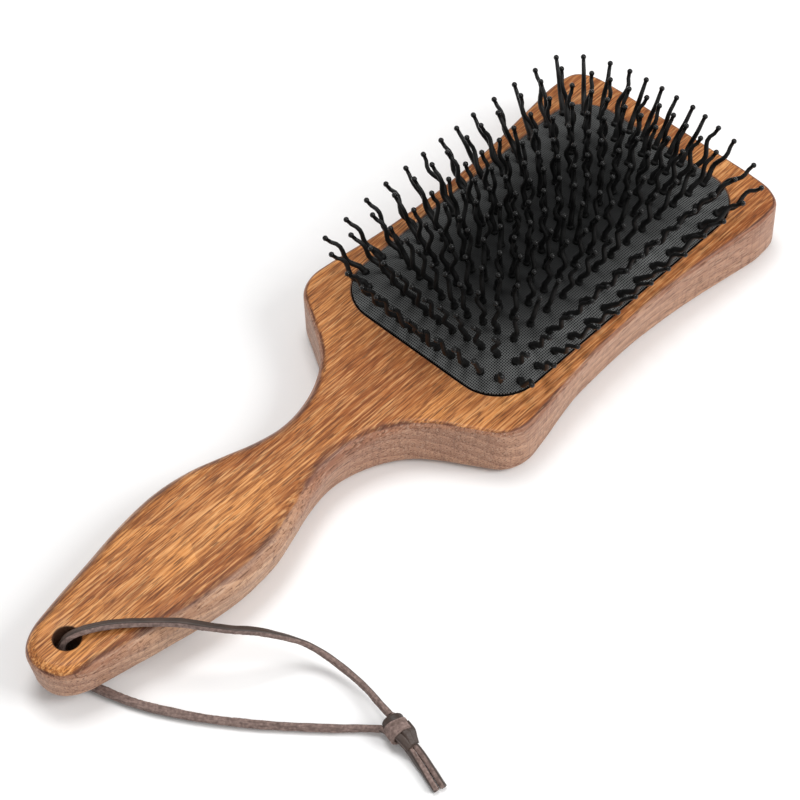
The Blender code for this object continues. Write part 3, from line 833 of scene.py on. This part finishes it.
def column_feet(column):
    """(foot, lean direction) of each pin of a column, in order along X."""
    place = abs(column)
    side = (column > 0) - (column < 0)
    count = COLUMN_PINS[place]
    lean_y = side * math.radians(COLUMN_LEAN_DEG[place])
    feet = []
    for i in range(count):
        lean_x = 0.0
        if i < len(NEAR_END_LEAN_DEG):
            lean_x = -math.radians(NEAR_END_LEAN_DEG[i])
        if count - 1 - i < len(FAR_END_LEAN_DEG):
            lean_x = math.radians(FAR_END_LEAN_DEG[count - 1 - i])
        x = PAD_X + COLUMN_HALF_LENGTH[place] * (2 * i / (count - 1) - 1)
        y = column * COLUMN_PITCH
        direction = Vector((math.tan(lean_x), math.tan(lean_y), 1)).normalized()
        feet.append((Vector((x, y, float(dome_z(x, y)))), direction))
    return feet


def rubber_bmesh():
    """The dome as a grid with the weave's lines sunk in it, and the wall that goes down in the recess."""
    half_x, half_y = RECESS_HALF_X - RUBBER_GAP, RECESS_HALF_Y - RUBBER_GAP
    corner = RECESS_CORNER - RUBBER_GAP

    def lines(half):
        cells = int(math.ceil(half / WEAVE_PITCH))
        places = [cell * WEAVE_PITCH + line for cell in range(-cells, cells) for line in WEAVE_LINES]
        return np.array([p for p in places if -half < p < half])

    xs = np.concatenate([[-half_x], lines(half_x), [half_x]])
    ys = np.concatenate([[-half_y], lines(half_y), [half_y]])
    grid_x, grid_y = np.meshgrid(xs, ys, indexing="ij")
    over_x = np.maximum(np.abs(grid_x) - (half_x - corner), 0)
    over_y = np.maximum(np.abs(grid_y) - (half_y - corner), 0)
    reach = np.hypot(over_x, over_y)
    inside = reach <= corner + 1e-9
    pull = np.where(inside, 1.0, corner / np.maximum(reach, 1e-9))
    x = np.where(inside, grid_x, np.sign(grid_x) * (half_x - corner + over_x * pull))
    y = np.where(inside, grid_y, np.sign(grid_y) * (half_y - corner + over_y * pull))
    z = dome_z(PAD_X + x, y)
    edge = np.clip((corner - np.minimum(reach, corner)) / (1.2 * MM), 0, 1)
    edge = np.where((over_x > 0) | (over_y > 0), edge, 1.0)
    on_line_x = np.abs(grid_x / WEAVE_PITCH - np.round(grid_x / WEAVE_PITCH)) < 0.02
    on_line_y = np.abs(grid_y / WEAVE_PITCH - np.round(grid_y / WEAVE_PITCH)) < 0.02
    z = z - WEAVE_DEPTH * edge * (on_line_x | on_line_y)
    for column in range(-COLUMNS_EACH_SIDE, COLUMNS_EACH_SIDE + 1):
        for foot, _ in column_feet(column):
            away = np.hypot(PAD_X + x - foot.x, y - foot.y)
            z = z - DIMPLE_DEPTH * np.exp(-((away / DIMPLE_RADIUS) ** 2))
    away = np.hypot(PAD_X + x - VENT_X, y)
    z = z - VENT_DEPTH * np.clip((VENT_RADIUS * 1.15 - away) / (0.3 * MM), 0, 1)
    bm = bmesh.new()
    verts = {}
    for i in range(len(xs) - 1):
        for j in range(len(ys) - 1):
            corners = [(i, j), (i + 1, j), (i + 1, j + 1), (i, j + 1)]
            if not any(inside[c] for c in corners):
                continue
            for c in corners:
                if c not in verts:
                    verts[c] = bm.verts.new((PAD_X + x[c], y[c], z[c]))
            bm.faces.new([verts[c] for c in corners])
    bmesh.ops.remove_doubles(bm, verts=bm.verts, dist=0.004 * MM)
    rim = [e for e in bm.edges if e.is_boundary]
    for edge_line in rim:
        edge_line.smooth = False
    for drop in WALL_DROPS:
        grown = bmesh.ops.extrude_edge_only(bm, edges=rim)["geom"]
        moved = [v for v in grown if isinstance(v, bmesh.types.BMVert)]
        for vert in moved:
            vert.co.z = TOP_Z - drop
        rim = [e for e in grown if isinstance(e, bmesh.types.BMEdge) and e.is_boundary]
    for face in bm.faces:
        face.smooth = True
    return bm


def rubber_material():
    """Matt black rubber, the weave's sunk lines grey with dust, less so on the crown, which is worn and
    carries painted shade of the dense pins.
    """
    finish = Finish("woven_rubber")
    spread, times = finish.spread, finish.times
    weave = finish.stretched((1 / WEAVE_PITCH, 1 / WEAVE_PITCH, 1), (-PAD_X / WEAVE_PITCH, 0, 0))
    weave = finish.parts(weave)
    lines = []
    for name in ("X", "Y"):
        nearest = finish.combined("PINGPONG", weave[name], 0.5)
        lines.append(spread(nearest, 0.20, 0.07, ease="SMOOTHSTEP"))
    grid = finish.combined("MAXIMUM", *lines)
    cloud = finish.noise(finish.place, 4.0, scale=60.0)
    height = finish.parts(finish.place)["Z"]
    above_wall = spread(height, TOP_Z + 0.02 * MM, TOP_Z + 0.15 * MM)
    # The lines are greyed less towards the crown: the rubber is worn there, and the dense pins' shade is
    # painted in too.
    crown_wear_and_pin_shade = spread(height, TOP_Z + 2.0 * MM, TOP_Z + 5.6 * MM, 1.0, 0.10)
    dust_and_shade = times(times(spread(cloud, 0.3, 0.7, 0.55, 1.0), above_wall), crown_wear_and_pin_shade)
    finish.paint(
        Base_Color=finish.mixed(times(grid, dust_and_shade), RUBBER_BLACK, DUST_GREY),
        Roughness=spread(cloud, 0.0, 1.0, 0.55, 0.80),
        Specular_IOR_Level=0.12,
    )
    return finish.material


rubber = finish_mesh(rubber_bmesh(), "rubber_dome", rubber_material())
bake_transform(rubber)
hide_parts("rubber_cushion")

# -------------------------------------------------------------------- pins
# Each pin is one moulding of glossy black nylon: a round collar that sits on
# the rubber, a wavy shaft that tapers, and a ball tip. A column of pins rides
# on its own body, and a leaning pin's wave lies roughly in the plane of its lean.
PIN_LENGTH = 16.5 * MM
PIN_ROOT = 1.6 * MM
SHAFT_RADIUS = 0.82 * MM
NECK_RADIUS = 0.54 * MM
BALL_RADIUS = 0.79 * MM
COLLAR_RADIUS = 1.10 * MM
COLLAR_HEIGHT = 0.75 * MM
NYLON_BLACK = (0.0035, 0.0036, 0.0038)
NYLON_DUSTY = (0.0100, 0.0100, 0.0098)
SHAFT_POINTS = 10
BALL_POINTS = 5


def pin_profile():
    """A straight guide along Z that carries the pin's radius at each height."""
    stations = [(-PIN_ROOT, SHAFT_RADIUS), (-0.3 * MM, SHAFT_RADIUS), (-0.25 * MM, COLLAR_RADIUS)]
    stations += [(0.7 * COLLAR_HEIGHT, COLLAR_RADIUS), (COLLAR_HEIGHT, 0.8 * COLLAR_RADIUS)]
    ball_z = PIN_LENGTH - BALL_RADIUS
    neck_angle = math.asin(NECK_RADIUS / BALL_RADIUS)
    neck_z = ball_z - BALL_RADIUS * math.cos(neck_angle)
    for k in range(SHAFT_POINTS + 1):
        part = k / SHAFT_POINTS
        z = COLLAR_HEIGHT * 1.5 + (neck_z - COLLAR_HEIGHT * 1.5) * part
        stations.append((z, SHAFT_RADIUS + (NECK_RADIUS - SHAFT_RADIUS) * part))
    for k in range(1, BALL_POINTS + 1):
        angle = neck_angle + (math.radians(176) - neck_angle) * k / BALL_POINTS
        stations.append((ball_z - BALL_RADIUS * math.cos(angle), BALL_RADIUS * math.sin(angle)))
    curve = bpy.data.curves.new("pin_profile", "CURVE")
    curve.dimensions = "3D"
    spline = curve.splines.new("POLY")
    spline.points.add(len(stations) - 1)
    for point, (z, radius) in zip(spline.points, stations):
        point.co = (0, 0, z, 1)
        point.radius = radius
    guide = bpy.data.objects.new("pin_profile", curve)
    scene.collection.objects.link(guide)
    return guide


def pin_row_tree():
    """Geometry Nodes: bends the guide into a wave, skins it, and stands a copy on each foot."""
    tree = bpy.data.node_groups.new("pin_row", "GeometryNodeTree")
    for name, kind in (
        ("Feet", "NodeSocketGeometry"),
        ("Profile", "NodeSocketObject"),
        ("Sides", "NodeSocketInt"),
        ("Wave Height", "NodeSocketFloat"),
        ("Wave Length", "NodeSocketFloat"),
        ("Wave Start", "NodeSocketFloat"),
        ("Straight Foot", "NodeSocketFloat"),
        ("Straight Tip", "NodeSocketFloat"),
        ("Material", "NodeSocketMaterial"),
    ):
        tree.interface.new_socket(name, in_out="INPUT", socket_type=kind)
    tree.interface.new_socket("Pins", in_out="OUTPUT", socket_type="NodeSocketGeometry")
    given = tree.nodes.new("NodeGroupInput")
    result = tree.nodes.new("NodeGroupOutput")

    def node(kind, **settings):
        made = tree.nodes.new(kind)
        for name, value in settings.items():
            setattr(made, name, value)
        return made

    def join(output, target):
        tree.links.new(output, target)

    def sums(operation, *values):
        made = node("ShaderNodeMath", operation=operation)
        for socket, value in zip(made.inputs, values):
            if isinstance(value, float):
                socket.default_value = value
            else:
                join(value, socket)
        return made.outputs[0]

    def fade(from_height, to_height):
        made = node("ShaderNodeMapRange", interpolation_type="SMOOTHSTEP")
        join(axes.outputs["Z"], made.inputs["Value"])
        made.inputs["From Min"].default_value = from_height
        join(to_height, made.inputs["From Max"])
        return made.outputs["Result"]

    profile = node("GeometryNodeObjectInfo")
    join(given.outputs["Profile"], profile.inputs["Object"])
    place = node("GeometryNodeInputPosition")
    axes = node("ShaderNodeSeparateXYZ")
    join(place.outputs[0], axes.inputs[0])
    above = sums("SUBTRACT", axes.outputs["Z"], given.outputs["Wave Start"])
    phase = sums("DIVIDE", above, given.outputs["Wave Length"])
    wave = sums("SINE", sums("MULTIPLY", phase, 2 * math.pi))
    foot_fade = fade(COLLAR_HEIGHT, given.outputs["Straight Foot"])
    tip_fade = fade(PIN_LENGTH - 1.8 * BALL_RADIUS, given.outputs["Straight Tip"])
    height = sums("MULTIPLY", wave, given.outputs["Wave Height"])
    swing = sums("MULTIPLY", height, sums("MULTIPLY", foot_fade, tip_fade))
    offset = node("ShaderNodeCombineXYZ")
    join(swing, offset.inputs["X"])
    bend = node("GeometryNodeSetPosition")
    join(profile.outputs["Geometry"], bend.inputs["Geometry"])
    join(offset.outputs[0], bend.inputs["Offset"])
    section = node("GeometryNodeCurvePrimitiveCircle")
    section.inputs["Radius"].default_value = 1.0
    join(given.outputs["Sides"], section.inputs["Resolution"])
    skin = node("GeometryNodeCurveToMesh")
    join(bend.outputs["Geometry"], skin.inputs["Curve"])
    join(section.outputs["Curve"], skin.inputs["Profile Curve"])
    if "Scale" in skin.inputs:
        radius = node("GeometryNodeInputRadius")
        join(radius.outputs[0], skin.inputs["Scale"])
    skin.inputs["Fill Caps"].default_value = True
    keep_height = node("GeometryNodeStoreNamedAttribute", data_type="FLOAT", domain="POINT")
    keep_height.inputs["Name"].default_value = "height"
    join(skin.outputs["Mesh"], keep_height.inputs["Geometry"])
    join(axes.outputs["Z"], keep_height.inputs["Value"])
    lean = node("GeometryNodeInputNamedAttribute", data_type="FLOAT_VECTOR")
    lean.inputs["Name"].default_value = "lean"
    turn = node("GeometryNodeInputNamedAttribute", data_type="FLOAT")
    turn.inputs["Name"].default_value = "turn"
    upright = node("FunctionNodeAlignRotationToVector", axis="Z")
    join(lean.outputs["Attribute"], upright.inputs["Vector"])
    twist = node("FunctionNodeAxisAngleToRotation")
    twist.inputs["Axis"].default_value = (0, 0, 1)
    join(turn.outputs["Attribute"], twist.inputs["Angle"])
    turned = node("FunctionNodeRotateRotation", rotation_space="LOCAL")
    join(upright.outputs["Rotation"], turned.inputs["Rotation"])
    join(twist.outputs["Rotation"], turned.inputs["Rotate By"])
    stand = node("GeometryNodeInstanceOnPoints")
    join(given.outputs["Feet"], stand.inputs["Points"])
    join(keep_height.outputs["Geometry"], stand.inputs["Instance"])
    join(turned.outputs["Rotation"], stand.inputs["Rotation"])
    real = node("GeometryNodeRealizeInstances")
    join(stand.outputs["Instances"], real.inputs["Geometry"])
    smooth = node("GeometryNodeSetShadeSmooth")
    join(real.outputs["Geometry"], smooth.inputs["Geometry"])
    finish = node("GeometryNodeSetMaterial")
    join(smooth.outputs["Geometry"], finish.inputs["Geometry"])
    join(given.outputs["Material"], finish.inputs["Material"])
    join(finish.outputs["Geometry"], result.inputs["Pins"])
    return tree


def nylon_material():
    """Black nylon: shafts dulled by dust and handling, ball tips still glossy."""
    finish = Finish("black_nylon")
    polished = finish.spread(finish.attribute("height"), PIN_LENGTH - 3.2 * MM, PIN_LENGTH - 1.4 * MM)
    specks = finish.noise(finish.place, 3.0, scale=900.0)
    dull = finish.spread(specks, 0.0, 1.0, 0.40, 0.58)
    finish.paint(
        Base_Color=finish.mixed(specks, NYLON_BLACK, NYLON_DUSTY),
        Roughness=finish.mixed(polished, dull, 0.12, kind="FLOAT"),
        Specular_IOR_Level=0.24,
    )
    return finish.material


def add_pin_column(column, tree, profile, material, rng):
    """One column's pins as a plain mesh on that column's body."""
    number = column + COLUMNS_EACH_SIDE + 1
    feet = column_feet(column)
    mesh = bpy.data.meshes.new("feet_%02d" % number)
    mesh.from_pydata([foot for foot, _ in feet], [], [])
    mesh.attributes.new("lean", "FLOAT_VECTOR", "POINT")
    mesh.attributes.new("turn", "FLOAT", "POINT")
    lean, turn = mesh.attributes["lean"], mesh.attributes["turn"]
    for i, (_, direction) in enumerate(feet):
        wobble = Vector((rng.gauss(0, 0.02), rng.gauss(0, 0.02), 0))
        if abs(column) == COLUMNS_EACH_SIDE:
            wobble.y = -math.copysign(0.035 + abs(wobble.y), column)
        lean.data[i].vector = (direction + wobble).normalized()
        across_lean = math.atan2(direction.y + rng.gauss(0, 0.06), direction.x + rng.gauss(0, 0.06))
        turn.data[i].value = across_lean + rng.gauss(0, 0.8)
    feet_object = bpy.data.objects.new("feet_%02d" % number, mesh)
    scene.collection.objects.link(feet_object)
    modifier = feet_object.modifiers.new("pins", "NODES")
    modifier.node_group = tree
    settings = {
        "Profile": profile,
        "Sides": 8,
        "Wave Height": 0.95 * MM,
        "Wave Length": 11.0 * MM,
        "Wave Start": 3.2 * MM,
        "Straight Foot": 4.0 * MM,
        "Straight Tip": PIN_LENGTH - 3.4 * MM,
        "Material": material,
    }
    for item in tree.interface.items_tree:
        if item.in_out == "INPUT" and item.name in settings:
            modifier[item.identifier] = settings[item.name]
    bpy.context.view_layer.update()
    depsgraph = bpy.context.evaluated_depsgraph_get()
    done = bpy.data.meshes.new_from_object(feet_object.evaluated_get(depsgraph))
    bpy.data.objects.remove(feet_object, do_unlink=True)
    name = "wavy_pins_%02d" % number
    done.name = name
    pins = bpy.data.objects.new(name, done)
    scene.collection.objects.link(pins)
    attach(pins, "pin_column_%02d" % number)
    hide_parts("pin_column_%02d" % number)


pin_tree = pin_row_tree()
profile_guide = pin_profile()
nylon = nylon_material()
pin_rng = random.Random(7)
for column_number in range(-COLUMNS_EACH_SIDE, COLUMNS_EACH_SIDE + 1):
    add_pin_column(column_number, pin_tree, profile_guide, nylon, pin_rng)
bpy.data.objects.remove(profile_guide, do_unlink=True)

# ---------------------------------------------------------- floor and light
# A plain pale floor and soft studio light: one large softbox overhead, a
# lower one to the right that draws the edges, and an even white surround.
floor_mesh = bmesh.new()
bmesh.ops.create_grid(floor_mesh, x_segments=1, y_segments=1, size=3.0)
for corner_vert in floor_mesh.verts:
    corner_vert.co.z = -0.2 * MM
floor_finish = Finish("pale_floor")
floor_finish.paint(Base_Color=(0.94, 0.94, 0.94), Roughness=0.9, Specular_IOR_Level=0.1)
floor = finish_mesh(floor_mesh, "floor", floor_finish.material)
floor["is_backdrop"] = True


def add_softbox(name, place, size, power):
    """A square area light at place, facing the middle of the brush."""
    data = bpy.data.lights.new(name, "AREA")
    data.shape = "SQUARE"
    data.size = size
    data.energy = power
    light = bpy.data.objects.new(name, data)
    light.location = place
    light.rotation_mode = "QUATERNION"
    light.rotation_quaternion = (-Vector(place)).to_track_quat("-Z", "Y")
    scene.collection.objects.link(light)


add_softbox("softbox_overhead", (0.10, 0.25, 1.3), 0.5, 7)
add_softbox("softbox_front", (0.45, -1.0, 0.95), 0.7, 11)
world = bpy.data.worlds.new("studio")
world.use_nodes = True
world.node_tree.nodes["Background"].inputs["Color"].default_value = (1, 1, 1, 1)
world.node_tree.nodes["Background"].inputs["Strength"].default_value = 0.55
scene.world = world

size_rows = [[list(map(float, corner)) for corner in box] for box in (cad_box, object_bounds())]
